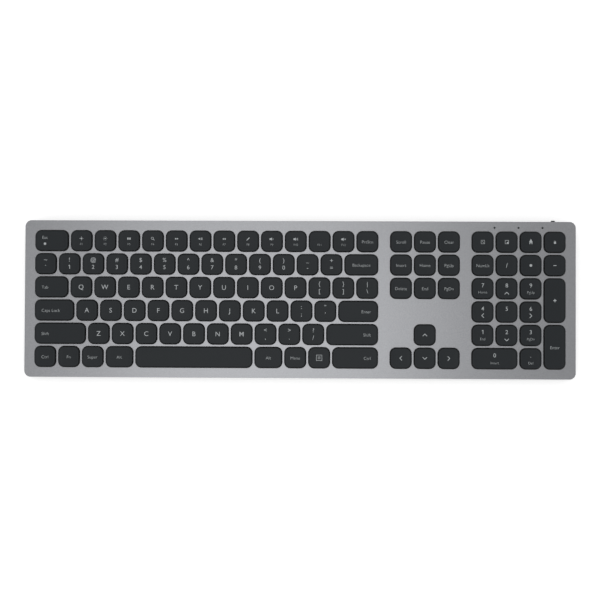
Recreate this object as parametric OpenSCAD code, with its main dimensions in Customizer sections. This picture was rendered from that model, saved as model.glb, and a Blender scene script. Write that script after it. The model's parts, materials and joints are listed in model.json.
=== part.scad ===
// Full-size low-profile keyboard with a number block at its right end.
// Millimetres. X runs along the rows, Y towards the rear edge, Z up from the table.
// The keys, their plate and the sheets below lie in a deck frame that is tilted about X.

/* [Key layout] */
// Width of one key cell along a row
unit = 19; // [18.6:0.1:20]
// Depth of one key cell from row to row
row_pitch = 18.5; // [18:0.1:20]
// Bare strip between the main, middle and number blocks
block_gap = 7.75; // [5:0.25:16]
// Metal left between two neighbouring key openings
key_web = 1.55; // [1.2:0.05:2.2]
// Corner radius of the key openings
opening_radius = 4.9; // [3:0.1:5.5]
// Margin from the outer key cells to the left and right plate edges
side_margin = 7.4; // [7:0.1:14]
// Margin from the outer key cells to the front and rear plate edges
end_margin = 7.1; // [6.8:0.1:14]

/* [Keys] */
// Gap between a cap and the edge of its opening
key_gap = 0.4; // [0.3:0.05:0.6]
// Height of the cap top above the plate at rest
cap_rise = 2.2; // [2:0.1:4]
// Thickness of the cap's top
cap_roof = 1; // [0.8:0.1:1.2]
// Thickness of the cap's skirt
cap_wall = 1; // [0.8:0.1:1.3]
// Depth of the skirt below the plate's top face at rest
skirt_depth = 0.4; // [0.2:0.1:1]
// How far a key travels
key_travel = 1.8; // [1.4:0.1:2.2]
// Clearance left under a cap that is pressed down fully
press_gap = 0.4; // [0.3:0.05:0.8]

/* [Key guides] */
// Width of the plunger under each cap
plunger_w = 5; // [4:0.1:5.5]
// Depth of the plunger under each cap
plunger_d = 4; // [3:0.1:5]
// Gap between a plunger and its guide on each side
guide_gap = 0.3; // [0.25:0.05:0.4]
// Wall of the guide tower round a plunger
guide_wall = 1.2; // [0.8:0.1:1.4]
// Thickness of the guide frame's base
guide_base = 1.4; // [1:0.1:2.5]
// Height of the barbs that keep a plunger in its guide
barb_height = 0.5; // [0.4:0.1:1]
// Reach of the barbs past the plunger's sides
barb_reach = 0.7; // [0.5:0.05:1]

/* [Switch sheets] */
// Outer radius of a rubber dome at its foot
dome_radius = 3.4; // [2.8:0.1:4]
// Radius of a dome's flat top
dome_top_radius = 1.9; // [1.4:0.1:2.4]
// Thickness of the rubber
dome_wall = 0.5; // [0.4:0.05:0.6]
// Height that a fully pressed dome still has above its foot
dome_crush = 0.2; // [0.2:0.05:0.6]
// Thickness of the rubber web between the domes
dome_web = 0.3; // [0.2:0.05:0.5]
// Thickness of each of the three circuit films
film_thickness = 0.15; // [0.12:0.01:0.3]
// Glue line between two films
film_glue = 0.02; // [0.02:0.01:0.05]
// Radius of the spacer film's window at each key
contact_radius = 2.5; // [2:0.1:3]
// Thickness of the steel support plate
steel_thickness = 0.5; // [0.4:0.05:1]

/* [Stabiliser wires] */
// Diameter of the wire
wire_d = 0.8; // [0.6:0.05:0.9]
// Length of the arms from the bar to their ends
wire_arm = 6.5; // [6:0.1:7]
// Bend radius at the wire's centre line
wire_bend = 1; // [0.8:0.05:1.2]
// Length of the bent-out end of each arm
wire_end = 3; // [2.8:0.1:4]
// Gap between the wire's end and its slot
wire_gap = 0.2; // [0.15:0.05:0.25]
// Play between the bar and its clips
clip_play = 0.05; // [0.03:0.01:0.1]

/* [Case] */
// Thickness of the aluminium plate
plate_thickness = 1.2; // [1:0.1:2]
// Corner radius of the plate
plate_radius = 5; // [3:0.1:8]
// Rise of the deck towards the rear in degrees
tilt = 4; // [3.6:0.1:8]
// Wall of the bottom cover
cover_wall = 1.8; // [1.4:0.1:2.2]
// Floor of the bottom cover
cover_floor = 1.6; // [1.4:0.1:3]
// Chamfer along the cover's bottom edges
edge_chamfer = 2; // [1:0.1:2.4]
// How far the plate stands out past the cover
plate_overhang = 0.3; // [0.1:0.05:0.8]
// Gap round the sheets and the guide frame
sheet_gap = 0.3; // [0.2:0.05:0.6]
// Thickness of the ribs under the steel plate
rib_thickness = 1.4; // [1:0.1:3]

/* [Feet and screws] */
// Height of the feet below the cover
foot_height = 1; // [0.6:0.1:3]
// Depth of the pockets that hold the feet
foot_pocket = 0.6; // [0.3:0.1:0.8]
// Length of a foot
foot_length = 44; // [20:1:60]
// Width of a foot
foot_width = 6; // [4:0.5:9]
// Distance of the feet from the middle of the cover
foot_spread = 160; // [120:1:180]
// Diameter of the screw shank
screw_d = 2; // [1.8:0.1:2.4]
// Diameter of the screw head
screw_head_d = 4.2; // [3.6:0.1:4.6]
// Height of the screw head
screw_head_h = 1.2; // [0.8:0.1:1.4]
// Distance between two screws along the rows
screw_pitch = 134; // [126:1:136]
// Cover thickness that each screw clamps
screw_clamp = 1.6; // [1.2:0.1:1.6]

/* [Electronics] */
// Size of the controller board along X
board_w = 66; // [62:1:72]
// Size of the controller board along Y
board_d = 24; // [22:1:30]
// Thickness of the controller board
board_thickness = 1; // [0.8:0.1:1.6]
// Height of the board above the cover's floor
board_lift = 1.4; // [1:0.1:1.6]
// Battery length along X
battery_w = 104; // [60:1:110]
// Battery size along Y
battery_d = 34; // [20:1:36]
// Battery thickness
battery_thickness = 4; // [3:0.1:4.4]
// Width of the charge socket's shell
port_w = 8.94; // [8.94:0.01:9.2]
// Height of the charge socket's shell
port_h = 3.26; // [3.1:0.01:3.4]
// Depth of the charge socket
port_depth = 7.3; // [6:0.1:8]
// Distance of the power switch from the plate's right edge
switch_inset = 16; // [15:0.5:24]
// Travel of the power switch
switch_travel = 2.5; // [1.5:0.1:3]
// Width of the switch knob
knob_w = 3; // [2.6:0.1:5]
// Height of the switch knob
knob_h = 2; // [1.6:0.1:2.4]
// How far the knob stands out behind the plate
knob_out = 2.7; // [0.6:0.1:4]
// Diameter of the indicator windows
indicator_d = 1.6; // [1.2:0.1:2]
// Distance of the indicator windows behind the rear key row
indicator_back = 2.2; // [2:0.1:2.6]

/* [Hidden] */
$fn = 48;
overlap = 1;
// Clearances: round sliding and loose pieces, and the play of screws, feet, pegs and light pipes
fit = 0.3;
screw_play = 0.4;
pilot_play = 0.1;
foot_play = 0.2;
peg_play = 0.2;
pipe_play = 0.2;

// Key cells of the main block, row by row from the rear, in units
function ones(count) = [for (i = [1:count]) 1];
main_rows = [
    concat([1.5], ones(13)),
    concat(ones(13), [1.5]),
    concat([1.5], ones(13)),
    concat([1.75], ones(11), [1.75]),
    concat([2.25], ones(10), [2.25]),
    [1, 1, 1, 1.25, 5, 1.25, 1, 1, 2]
];
row_count = len(main_rows);
main_units = 14.5;
nav_units = 3;
pad_units = 4;
middle_left = main_units * unit + block_gap;
pad_left = middle_left + nav_units * unit + block_gap;
cells_w = pad_left + pad_units * unit;
cells_d = row_count * row_pitch;
plate_w = cells_w + 2 * side_margin;
plate_d = cells_d + 2 * end_margin;

// A cell is its left edge, its rear row, its width in units and its depth in rows
function before(list, count) = list * [for (i = [0:len(list) - 1]) i < count ? 1 : 0];
function main_cell(row, i) = [before(main_rows[row], i) * unit, row, main_rows[row][i], 1];
function main_run(row, first, last) = [for (i = [first:last]) main_cell(row, i)];
function nav_cell(row, column) = [middle_left + column * unit, row, 1, 1];
function nav_run(row) = [for (column = [0:nav_units - 1]) nav_cell(row, column)];
function pad_cell(row, column, w = 1, d = 1) = [pad_left + column * unit, row, w, d];
function cell_x(cell) = cell[0] + cell[2] * unit / 2 - cells_w / 2;
function cell_y(cell) = cells_d / 2 - (cell[1] + cell[3] / 2) * row_pitch;
function opening_w(cell) = cell[2] * unit - key_web;
function opening_d(cell) = cell[3] * row_pitch - key_web;
function cap_w(cell) = opening_w(cell) - 2 * key_gap;
function cap_d(cell) = opening_d(cell) - 2 * key_gap;

// Each key node with the cells of its caps
keys = [
    ["function_row_keys", main_run(0, 0, 13)],
    ["number_row_keys", main_run(1, 0, 12)],
    ["backspace_key", main_run(1, 13, 13)],
    ["upper_row_keys", main_run(2, 0, 13)],
    ["home_row_keys", main_run(3, 0, 11)],
    ["enter_key", main_run(3, 12, 12)],
    ["left_shift_key", main_run(4, 0, 0)],
    ["lower_row_keys", main_run(4, 1, 10)],
    ["right_shift_key", main_run(4, 11, 11)],
    ["modifier_keys", concat(main_run(5, 0, 3), main_run(5, 5, 7))],
    ["space_bar", main_run(5, 4, 4)],
    ["right_control_key", main_run(5, 8, 8)],
    ["nav_keys", concat(nav_run(0), nav_run(1), nav_run(2))],
    ["up_arrow_key", [nav_cell(4, 1)]],
    ["left_arrow_key", [nav_cell(5, 0)]],
    ["down_arrow_key", [nav_cell(5, 1)]],
    ["right_arrow_key", [nav_cell(5, 2)]],
    ["pad_hotkey_1", [pad_cell(0, 0)]],
    ["pad_hotkey_2", [pad_cell(0, 1)]],
    ["pad_hotkey_3", [pad_cell(0, 2)]],
    ["pad_hotkey_4", [pad_cell(0, 3)]],
    ["pad_num_lock_key", [pad_cell(1, 0)]],
    ["pad_divide_key", [pad_cell(1, 1)]],
    ["pad_multiply_key", [pad_cell(1, 2)]],
    ["pad_minus_key", [pad_cell(1, 3)]],
    ["pad_7_key", [pad_cell(2, 0)]],
    ["pad_8_key", [pad_cell(2, 1)]],
    ["pad_9_key", [pad_cell(2, 2)]],
    ["pad_plus_key", [pad_cell(2, 3, 1, 2)]],
    ["pad_4_key", [pad_cell(3, 0)]],
    ["pad_5_key", [pad_cell(3, 1)]],
    ["pad_6_key", [pad_cell(3, 2)]],
    ["pad_1_key", [pad_cell(4, 0)]],
    ["pad_2_key", [pad_cell(4, 1)]],
    ["pad_3_key", [pad_cell(4, 2)]],
    ["pad_enter_key", [pad_cell(4, 3, 1, 2)]],
    ["pad_0_key", [pad_cell(5, 0, 2, 1)]],
    ["pad_point_key", [pad_cell(5, 2)]]
];
cells = [for (key = keys) each key[1]];

// Each stabiliser wire with the cell of its key
function is_long(cell) = cell[2] >= 2 || cell[3] >= 2;
wired = [for (key = keys) for (cell = key[1]) if (is_long(cell)) [str(key[0], "_wire"), cell]];

// Heights in the deck frame, from the plate's top face
cap_ceiling = cap_rise - cap_roof;
skirt_low = -skirt_depth;
tower_top = cap_ceiling - key_travel - press_gap;
base_top = skirt_low - key_travel - press_gap;
base_low = base_top - guide_base;
barb_top = base_low - guide_gap;
plunger_low = barb_top - barb_height;
dome_height = key_travel + dome_crush;
dome_top = plunger_low - guide_gap;
dome_foot = dome_top - dome_height;
film_low = dome_foot - 3 * film_thickness - 2 * film_glue;
steel_low = film_low - steel_thickness;

// Places of the deck and the case above the table
sheet_inset = plate_overhang + cover_wall + edge_chamfer + sheet_gap;
sheet_w = plate_w - 2 * sheet_inset;
sheet_front = -plate_d / 2 + sheet_inset;
sheet_rear = cells_d / 2;
sheet_d = sheet_rear - sheet_front;
floor_z = foot_height + cover_floor;
deck_z = floor_z - sheet_front * sin(tilt) - steel_low * cos(tilt) + sheet_gap / 2;
case_w = plate_w - 2 * plate_overhang;
case_d = plate_d * cos(tilt) - 2 * plate_overhang;
case_radius = plate_radius - plate_overhang;
case_rear = case_d / 2;
wall_rear = case_rear - cover_wall;
plate_rear = plate_d / 2 * cos(tilt) + plate_thickness * sin(tilt);
knob_rear = plate_rear + knob_out;
shift_y = (plate_d / 2 * cos(tilt) - knob_rear) / 2;
function deck_height(y, w) = deck_z + y * tan(tilt) + w / cos(tilt);
function deck_y(v, w) = v * cos(tilt) - w * sin(tilt);

// Stabiliser geometry in the key's own frame, with the bar along X
bar_v = max(plunger_w, plunger_d) / 2 + guide_gap + guide_wall + 1.2;
bar_w = cap_ceiling - wire_d / 2 - clip_play - 0.2;
clip_wall = 0.4;
clip_width = 3;
arm_end_w = base_top + wire_gap + wire_d / 2;
arm_angle = asin((bar_w - arm_end_w) / wire_arm);
arm_angle_pressed = asin((bar_w - key_travel - arm_end_w) / wire_arm);
arm_end_rest = bar_v - wire_arm * cos(arm_angle);
arm_end_pressed = bar_v - wire_arm * cos(arm_angle_pressed);
function long_side(cell) = cell[2] >= 2 ? cap_w(cell) : cap_d(cell);
function arm_x(cell) = long_side(cell) / 2 - cap_wall - wire_end - 0.4;

// Screws between the second and third and the fourth and fifth rows, in pairs beside the battery,
// as many as the pitch leaves room for
screw_seat = steel_low - screw_clamp;
screw_tip = base_low - 0.6;
boss_d = screw_d + 2.6;
counterbore_d = screw_head_d + 0.6;
cover_boss_d = counterbore_d + 2.6;
screw_pairs = floor((sheet_w - cover_boss_d) / (2 * screw_pitch) + 0.5);
screw_rows = [row_pitch, -row_pitch];
screw_columns = [for (side = [-1, 1], i = [1:screw_pairs]) side * (i - 0.5) * screw_pitch];

// Electronics behind the steel plate
board_z = floor_z + board_lift;
board_top = board_z + board_thickness;
switch_x = plate_w / 2 - switch_inset;
switch_w = 9;
switch_side = 1.1;
board_x = switch_x + switch_w / 2 + switch_side - board_w / 2;
board_rear = wall_rear - max(0, edge_chamfer - board_lift) - fit;
board_y = board_rear - board_d / 2;
peg_d = 1.9;
peg_inset_x = 13;
peg_inset_y = 4;
peg_x = board_w / 2 - peg_inset_x;
peg_y = board_d / 2 - peg_inset_y;
peg_spots = [for (x = [-1, 1], y = [-1, 1]) [board_x + x * peg_x, board_y + y * peg_y]];
port_x = pad_left + 1.5 * unit - cells_w / 2;
port_z = board_top + port_h / 2;
port_rear = case_rear - 0.3;
switch_d = 4;
switch_h = knob_h + 1.4;
switch_rear = wall_rear - max(0, edge_chamfer - board_lift - board_thickness) - fit;
stem = 1.4;
stem_reach = 2;
knob_z = board_top + switch_h / 2;
indicator_v = cells_d / 2 + indicator_back;
guide_rear = indicator_v + 1.8;
indicator_xs = [for (i = [1:3]) pad_left + i * unit - cells_w / 2];
led_h = 0.6;
pipe_low = (board_top + led_h + fit - deck_z - indicator_v * sin(tilt)) / cos(tilt);
led_y = deck_y(indicator_v, pipe_low);
lead_d = 1.2;
lead_y = board_y - 7;
battery_front = lead_y + 4 - battery_d;
lead_z = board_top + lead_d / 2 + 0.2;
post_d = 6;
post_inset_y = 8;
post_side = 48;
post_columns = [post_d - sheet_w / 2, -battery_w / 2 - post_side, battery_w / 2 + post_side];
socket_w = 6;
tail_w = 13;
tail_x = board_x + 10;
tail_z = board_top + 1;
tail_reach = 1.6;
tail_socket_rear = board_rear - 5.5;

// Frames

module on_table() {
    translate([0, shift_y, 0]) children();
}

module on_deck() {
    on_table() translate([0, 0, deck_z]) rotate([tilt, 0, 0]) children();
}

module at_cell(cell) {
    translate([cell_x(cell), cell_y(cell), 0]) children();
}

// Turns a long key's own frame so that its long side runs along X
module along_key(cell) {
    at_cell(cell) rotate([0, 0, cell[2] >= 2 ? 0 : 90]) children();
}

module at_screws() {
    for (x = screw_columns, v = screw_rows) translate([x, v, 0]) children();
}

module along_x(length) {
    rotate([90, 0, 90]) linear_extrude(length, center = true) children();
}

module along_y(length) {
    rotate([90, 0, 0]) linear_extrude(length, center = true) children();
}

// Shapes that repeat

module rounded_rect(w, d, r) {
    square([w - 2 * r, d], center = true);
    square([w, d - 2 * r], center = true);
    for (x = [-1, 1], y = [-1, 1]) translate([x * (w / 2 - r), y * (d / 2 - r)]) circle(r);
}

module stadium(w, d) {
    square([w - d, d], center = true);
    for (x = [-1, 1]) translate([x * (w - d) / 2, 0]) circle(d = d);
}

module layer(low, high) {
    translate([0, 0, low]) linear_extrude(high - low) children();
}

// Outline of the sheets, with a clear hole of the given diameter at each screw
module sheet_outline(hole_d) {
    difference() {
        translate([-sheet_w / 2, sheet_front]) square([sheet_w, sheet_d]);
        at_screws() circle(d = hole_d);
    }
}

// A box on the board's top face, placed from the board's centre
module chip(x, y, w, d, h) {
    translate([board_x + x - w / 2, board_y + y - d / 2, board_top]) cube([w, d, h]);
}

// Case

module top_plate() {
    color("#8f9496") on_deck() layer(-plate_thickness, 0) difference() {
        rounded_rect(plate_w, plate_d, plate_radius);
        for (cell = cells) at_cell(cell) rounded_rect(opening_w(cell), opening_d(cell), opening_radius);
        for (x = indicator_xs) translate([x, indicator_v]) circle(d = indicator_d);
    }
}

// Closed wedge with chamfered bottom edges, set in from the cover's outside
module case_wedge(inset, low, top_w) {
    half_w = case_w / 2 - inset;
    half_d = case_d / 2 - inset;
    out = overlap;
    side_top = deck_height(case_rear, 0) + out;
    intersection() {
        linear_extrude(side_top) rounded_rect(2 * half_w, 2 * half_d, case_radius - inset);
        along_x(case_w) polygon([
            [-half_d - out, low + edge_chamfer + out],
            [-half_d + edge_chamfer, low],
            [half_d - edge_chamfer, low],
            [half_d + out, low + edge_chamfer + out],
            [half_d + out, deck_height(half_d + out, top_w)],
            [-half_d - out, deck_height(-half_d - out, top_w)]
        ]);
        along_y(case_d) polygon([
            [-half_w - out, low + edge_chamfer + out],
            [-half_w + edge_chamfer, low],
            [half_w - edge_chamfer, low],
            [half_w + out, low + edge_chamfer + out],
            [half_w + out, side_top],
            [-half_w - out, side_top]
        ]);
    }
}

// Ribs, screw bosses and posts between the cover's floor and the steel plate
module cover_supports() {
    front = deck_y(sheet_front, steel_low) + sheet_gap;
    rear = battery_front - 2;
    for (i = [1 - 2 * screw_pairs:2 * screw_pairs - 1]) translate([i * screw_pitch / 2, 0, 0])
        along_x(rib_thickness) polygon([
            [front, foot_height + overlap],
            [rear, foot_height + overlap],
            [rear, deck_height(rear, steel_low)],
            [front, deck_height(front, steel_low)]
        ]);
    translate([0, 0, deck_z]) rotate([tilt, 0, 0]) {
        at_screws() translate([0, 0, steel_low - deck_z]) cylinder(d = cover_boss_d, h = deck_z);
        for (x = post_columns) translate([x, sheet_rear - post_inset_y, steel_low - deck_z])
            cylinder(d = post_d, h = deck_z);
    }
}

module board_posts() {
    for (spot = peg_spots) translate([spot[0], spot[1], foot_height + overlap]) {
        cylinder(d = peg_d + 2.6, h = board_z - foot_height - overlap);
        cylinder(d = peg_d, h = board_top + 0.6 - foot_height - overlap);
    }
}

module foot_spots() {
    for (x = [-1, 1], y = [-1, 1])
        translate([x * foot_spread, y * (case_d / 2 - edge_chamfer - foot_width / 2 - 2), 0]) children();
}

module bottom_cover() {
    slot_w = knob_w + switch_travel + 2 * fit;
    color("#1d1f21") on_table() difference() {
        union() {
            difference() {
                case_wedge(0, foot_height, -plate_thickness);
                case_wedge(cover_wall, floor_z, overlap);
            }
            intersection() {
                case_wedge(cover_wall / 2, foot_height + overlap / 2, -plate_thickness);
                cover_supports();
            }
            board_posts();
        }
        translate([0, 0, deck_z]) rotate([tilt, 0, 0]) at_screws() {
            translate([0, 0, screw_seat - deck_z]) cylinder(d = counterbore_d, h = deck_z);
            translate([0, 0, screw_seat - overlap])
                cylinder(d = screw_d + screw_play, h = screw_clamp + 2 * overlap);
        }
        foot_spots() translate([0, 0, foot_height - overlap]) linear_extrude(foot_pocket + overlap)
            stadium(foot_length + foot_play, foot_width + foot_play);
        translate([port_x, wall_rear, port_z]) along_y(4 * cover_wall)
            stadium(port_w + 2 * fit, port_h + 2 * fit);
        translate([switch_x + fit + knob_w / 2 - slot_w, wall_rear - overlap, knob_z - knob_h / 2 - fit])
            cube([slot_w, cover_wall + 2 * overlap, knob_h + 2 * fit]);
    }
}

module rubber_feet() {
    color("#2a2a2a") on_table() foot_spots() linear_extrude(foot_height + foot_pocket)
        stadium(foot_length, foot_width);
}

module case_screws() {
    cross_w = 0.6;
    cross_l = screw_head_d * 0.62;
    color("#9a9a9a") on_deck() at_screws() {
        translate([0, 0, screw_seat]) cylinder(d = screw_d, h = screw_tip - screw_seat);
        difference() {
            translate([0, 0, screw_seat - screw_head_h]) cylinder(d = screw_head_d, h = screw_head_h);
            for (turn = [0, 90]) rotate([0, 0, turn])
                translate([-cross_l / 2, -cross_w / 2, screw_seat - screw_head_h - overlap])
                    cube([cross_l, cross_w, screw_head_h * 0.6 + overlap]);
        }
    }
}

// Key mechanism

// Slotted post that holds the bent-out end of a stabiliser arm
module arm_post(cell) {
    side = 0.8;
    slot_front = arm_end_pressed - wire_d / 2 - wire_gap;
    slot_rear = arm_end_rest + wire_d / 2 + wire_gap;
    post_x = arm_x(cell) + wire_bend + wire_d / 2;
    post_w = wire_end - wire_bend - wire_d / 2;
    translate([post_x, slot_front - side, base_top])
        cube([post_w, side, tower_top - base_top]);
    translate([post_x, slot_rear, base_top])
        cube([post_w, side, tower_top - base_top]);
    translate([post_x, slot_front - side, arm_end_w + wire_d / 2 + wire_gap])
        cube([post_w, slot_rear - slot_front + 2 * side, tower_top - arm_end_w - wire_d / 2 - wire_gap]);
}

// The key cells of one block, in rows and columns
module block(left, rear_row, w, rows) {
    translate([left - cells_w / 2, cells_d / 2 - (rear_row + rows) * row_pitch])
        square([w * unit, rows * row_pitch]);
}

// Plan of the guide frame, with clear holes for the light pipes
module guide_outline() {
    difference() {
        translate([-sheet_w / 2, sheet_front]) square([sheet_w, guide_rear - sheet_front]);
        for (x = indicator_xs) translate([x, indicator_v]) circle(d = indicator_d + pipe_play);
    }
}

// Strips in the block gaps and along both ends that hold the rubber sheet down
module hold_down_strips() {
    strip = block_gap - 2;
    edge = 1.5;
    for (left = [middle_left, pad_left])
        translate([left - (block_gap + strip) / 2 - cells_w / 2, -cells_d / 2]) square([strip, cells_d]);
    for (x = [-sheet_w / 2, sheet_w / 2 - edge]) translate([x, -cells_d / 2]) square([edge, cells_d]);
}

module key_guide_frame() {
    hole_w = plunger_w + 2 * guide_gap;
    hole_d = plunger_d + 2 * guide_gap;
    pilot_top = screw_tip + 0.2;
    color("#232527") on_deck() difference() {
        union() {
            layer(base_low, base_top) difference() {
                guide_outline();
                for (cell = cells) at_cell(cell) square([hole_w, hole_d], center = true);
            }
            layer(base_top, -plate_thickness) difference() {
                guide_outline();
                block(0, 0, main_units, row_count);
                block(middle_left, 0, nav_units, 3);
                block(middle_left + unit, 4, 1, 1);
                block(middle_left, 5, nav_units, 1);
                block(pad_left, 0, pad_units, row_count);
            }
            layer(base_top, tower_top) for (cell = cells) at_cell(cell) difference() {
                square([hole_w + 2 * guide_wall, hole_d + 2 * guide_wall], center = true);
                square([hole_w, hole_d], center = true);
            }
            layer(dome_foot + dome_web, base_low) hold_down_strips();
            layer(film_low, base_low) at_screws() circle(d = boss_d);
            for (wire = wired) along_key(wire[1]) {
                arm_post(wire[1]);
                mirror([1, 0, 0]) arm_post(wire[1]);
            }
        }
        layer(film_low - overlap, pilot_top) at_screws() circle(d = screw_d + pilot_play);
    }
}

module dome_sheet() {
    color("#b9bcbe") on_deck() {
        layer(dome_foot, dome_foot + dome_web) difference() {
            sheet_outline(boss_d + 2 * fit);
            for (cell = cells) at_cell(cell) circle(dome_radius - dome_wall);
        }
        for (cell = cells) at_cell(cell) translate([0, 0, dome_foot]) rotate_extrude() polygon([
            [dome_radius - dome_wall, 0],
            [dome_radius, 0],
            [dome_radius, dome_web],
            [dome_top_radius, dome_height],
            [0, dome_height],
            [0, dome_height - dome_wall],
            [dome_top_radius - dome_wall, dome_height - dome_wall]
        ]);
    }
}

// Flat tail of the circuit, from behind the steel plate down to its socket on the board
module circuit_tail() {
    t = film_thickness;
    rear = deck_y(sheet_rear + tail_reach, film_low) - t;
    top = deck_height(rear, film_low) + t / 2;
    translate([tail_x, 0, 0]) along_x(tail_w) polygon([
        [rear, top],
        [rear, tail_z],
        [tail_socket_rear, tail_z],
        [tail_socket_rear, tail_z + t],
        [rear - t, tail_z + t],
        [rear - t, top]
    ]);
}

module membrane_circuit() {
    step = film_thickness + film_glue;
    hole_d = boss_d + 2 * fit;
    color("#c9d4c4") {
        on_deck() {
            layer(dome_foot - film_thickness, dome_foot) sheet_outline(hole_d);
            layer(dome_foot - step - film_thickness, dome_foot - step) difference() {
                sheet_outline(hole_d);
                for (cell = cells) at_cell(cell) circle(contact_radius);
            }
            layer(film_low, film_low + film_thickness) {
                sheet_outline(hole_d);
                translate([tail_x - tail_w / 2, sheet_rear - overlap])
                    square([tail_w, tail_reach + overlap]);
            }
        }
        on_table() circuit_tail();
    }
}

module support_plate() {
    color("#b5b8ba") on_deck() layer(steel_low, film_low) sheet_outline(screw_d + screw_play);
}

// Keys

module clips(cell) {
    bar_half = arm_x(cell) - wire_bend;
    bore_d = wire_d + 2 * clip_play;
    clip_d = bore_d + 2 * clip_wall;
    clip_low = bar_w - clip_d / 2;
    clip_mouth = wire_d * 0.8;
    for (x = [-1, 1]) translate([x * (bar_half - clip_width), bar_v, 0]) difference() {
        translate([-clip_width / 2, -clip_d / 2, clip_low])
            cube([clip_width, clip_d, cap_ceiling - clip_low]);
        translate([0, 0, bar_w]) along_x(clip_width + overlap) circle(d = bore_d);
        translate([-clip_width, -clip_mouth / 2, clip_low - overlap])
            cube([2 * clip_width, clip_mouth, clip_d / 2 + overlap]);
    }
}

module key(cell) {
    radius = opening_radius - key_gap;
    at_cell(cell) {
        difference() {
            layer(skirt_low, cap_rise) rounded_rect(cap_w(cell), cap_d(cell), radius);
            layer(skirt_low - overlap, cap_ceiling)
                rounded_rect(cap_w(cell) - 2 * cap_wall, cap_d(cell) - 2 * cap_wall, radius - cap_wall);
        }
        layer(plunger_low, cap_ceiling) square([plunger_w, plunger_d], center = true);
        layer(plunger_low, barb_top) square([plunger_w + 2 * barb_reach, plunger_d / 2], center = true);
    }
    if (is_long(cell)) along_key(cell) clips(cell);
}

module key_node(entry) {
    color("#33383a") on_deck() for (cell = entry[1]) key(cell);
}

module wire_side(cell) {
    arm = arm_x(cell);
    translate([arm - wire_bend, -wire_bend, 0]) rotate_extrude(angle = 90)
        translate([wire_bend, 0]) circle(d = wire_d);
    translate([arm, -wire_bend, 0]) rotate([90, 0, 0]) cylinder(d = wire_d, h = wire_arm - 2 * wire_bend);
    translate([arm + wire_bend, wire_bend - wire_arm, 0]) rotate([0, 0, 180]) rotate_extrude(angle = 90)
        translate([wire_bend, 0]) circle(d = wire_d);
    translate([arm + wire_bend, -wire_arm, 0]) rotate([0, 90, 0])
        cylinder(d = wire_d, h = wire_end - wire_bend);
}

module wire_node(entry) {
    cell = entry[1];
    bar = 2 * (arm_x(cell) - wire_bend);
    color("#a8abad") on_deck() along_key(cell) translate([0, bar_v, bar_w]) rotate([arm_angle, 0, 0]) {
        rotate([0, 90, 0]) cylinder(d = wire_d, h = bar, center = true);
        wire_side(cell);
        mirror([1, 0, 0]) wire_side(cell);
    }
}

// Electronics

module controller_board() {
    color("#1f5f3a") on_table() difference() {
        translate([board_x - board_w / 2, board_y - board_d / 2, board_z])
            cube([board_w, board_d, board_thickness]);
        for (spot = peg_spots) translate([spot[0], spot[1], board_z - overlap])
            cylinder(d = peg_d + peg_play, h = board_thickness + 2 * overlap);
    }
}

module board_components() {
    socket_x = socket_w / 2 - board_w / 2 + 1;
    color("#26282a") on_table() {
        chip(-12, -1, 7, 7, 1);
        chip(2, -3, 12, 9, 1.6);
        chip(-6, 4.5, 3.2, 2.5, 0.8);
        chip(14, -6, 4, 4, 1.2);
        chip(26, -4, 5, 5, 1.2);
        chip(socket_x, lead_y - board_y, socket_w, 6, 2.6);
        chip(tail_x - board_x, tail_socket_rear - 2 - board_y, tail_w + 3, 4, 2);
        for (i = [0:5]) chip(-15 + 3 * i, -10, 1.6, 0.8, 0.8);
        for (x = indicator_xs) chip(x - board_x, led_y - board_y, 1.6, 0.8, led_h);
    }
}

module charge_port() {
    shell = 0.3;
    tongue_w = 6.7;
    tongue_h = 0.7;
    back = 2;
    on_table() translate([port_x, port_rear, port_z]) {
        color("#c4c7c9") translate([0, -port_depth / 2, 0]) along_y(port_depth) difference() {
            stadium(port_w, port_h);
            stadium(port_w - 2 * shell, port_h - 2 * shell);
        }
        color("#202224") {
            translate([0, back / 2 - port_depth, 0]) along_y(back)
                stadium(port_w - 2 * shell, port_h - 2 * shell);
            translate([-tongue_w / 2, back - port_depth, -tongue_h / 2])
                cube([tongue_w, port_depth - back - 0.8, tongue_h]);
        }
    }
}

module power_switch_body() {
    slot_w = stem + switch_travel + 2 * fit;
    slot_d = stem_reach + fit;
    color("#b9bcbe") on_table() difference() {
        translate([switch_x - switch_w / 2, switch_rear - switch_d, board_top])
            cube([switch_w, switch_d, switch_h]);
        translate([switch_x + fit + stem / 2 - slot_w, switch_rear - slot_d, knob_z - stem / 2 - fit])
            cube([slot_w, slot_d + overlap, stem + 2 * fit]);
    }
}

module power_switch_knob() {
    knob_front = switch_rear + fit;
    color("#141516") on_table() {
        translate([switch_x - knob_w / 2, knob_front, knob_z - knob_h / 2])
            cube([knob_w, knob_rear - knob_front, knob_h]);
        translate([switch_x - stem / 2, switch_rear - stem_reach, knob_z - stem / 2])
            cube([stem, stem_reach + fit, stem]);
    }
}

module battery_pack() {
    lead_end = board_x - board_w / 2 + 1;
    color("#6d7175") on_table() {
        translate([-battery_w / 2, battery_front, floor_z]) cube([battery_w, battery_d, battery_thickness]);
        for (side = [-1, 1]) translate([battery_w / 2, lead_y + side * lead_d, lead_z])
            rotate([0, 90, 0]) cylinder(d = lead_d, h = lead_end - battery_w / 2);
    }
}

module indicator_light_pipes() {
    bar_h = 1;
    bar_d = 3;
    color("#e8eef0") on_deck() {
        for (x = indicator_xs) translate([x, indicator_v, pipe_low])
            cylinder(d = indicator_d - pipe_play / 2, h = -pipe_low);
        translate([indicator_xs[0] - bar_d / 2, indicator_v - bar_d / 2, base_low - bar_h])
            cube([2 * unit + bar_d, bar_d, bar_h]);
    }
}

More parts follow.
